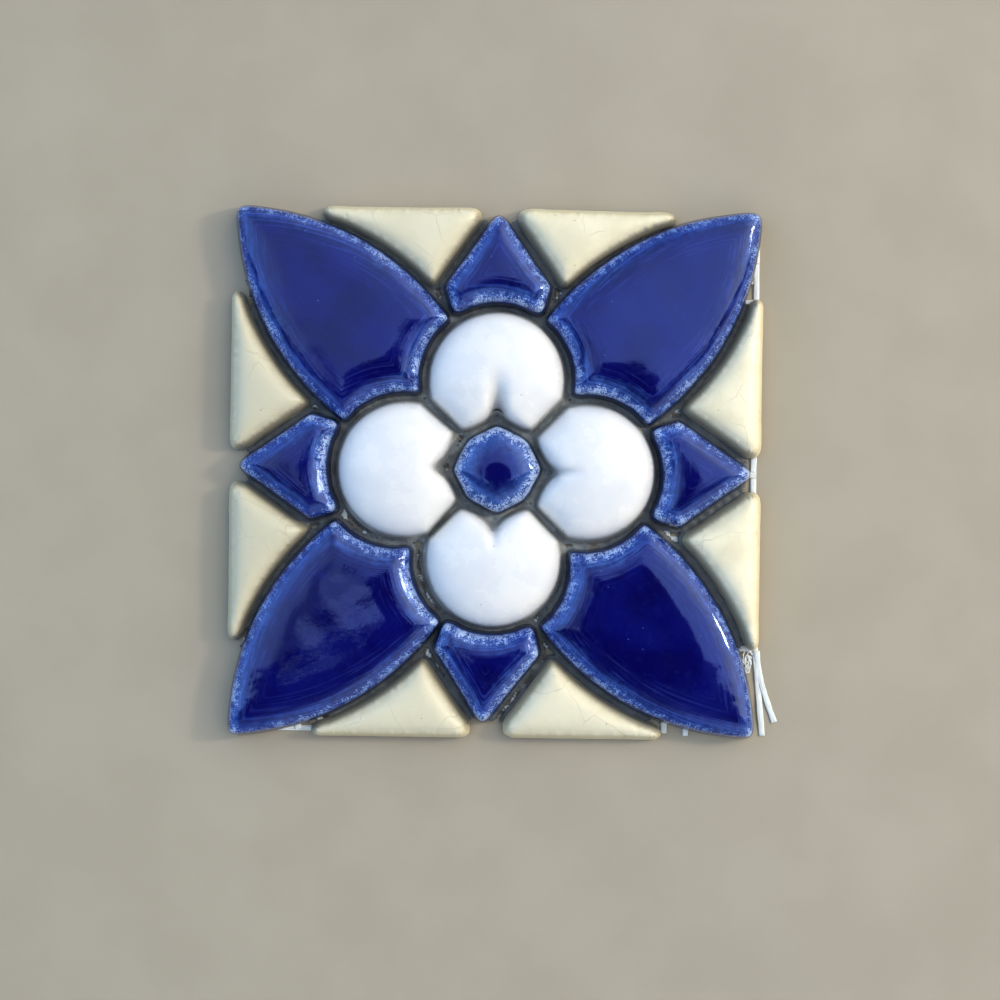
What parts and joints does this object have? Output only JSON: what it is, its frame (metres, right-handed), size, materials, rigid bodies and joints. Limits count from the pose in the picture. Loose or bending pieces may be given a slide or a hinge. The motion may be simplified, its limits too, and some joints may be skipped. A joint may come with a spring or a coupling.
{
  "type": "mosaic panel",
  "caption": "Square insert of glazed ceramic tiles bonded to a fibreglass net: white flower petals round a blue boss, with blue leaves and darts and cream infill.",
  "frame": {"origin": "middle of the panel on the underside of the net, which beds into adhesive", "axes": "+Z out of the glazed face, +Y towards the top of the picture and +X towards its right"},
  "size_m": [0.1043, 0.1, 0.0083],
  "materials": {
    "cobalt_glaze": "glossy cobalt glaze, breaking to a speckled pale blue along the edges",
    "white_glaze": "glossy opaque white glaze with a few pinholes",
    "cream_glaze": "glossy cream glaze, finely crazed",
    "fibreglass": "satin white coated glass yarn"
  },
  "bodies": {
    "root": {"fibreglass_net": "fibreglass", "centre_boss": "cobalt_glaze", "petal_north": "white_glaze", "dart_north": "cobalt_glaze", "leaf_north_east": "cobalt_glaze", "wedge_north_east": "cream_glaze", "wedge_north_west": "cream_glaze", "petal_west": "white_glaze", "dart_west": "cobalt_glaze", "leaf_north_west": "cobalt_glaze", "wedge_west_north": "cream_glaze", "wedge_west_south": "cream_glaze", "petal_south": "white_glaze", "dart_south": "cobalt_glaze", "leaf_south_west": "cobalt_glaze", "wedge_south_west": "cream_glaze", "wedge_south_east": "cream_glaze", "petal_east": "white_glaze", "dart_east": "cobalt_glaze", "leaf_south_east": "cobalt_glaze", "wedge_east_south": "cream_glaze", "wedge_east_north": "cream_glaze"}
  },
  "joints": []
}
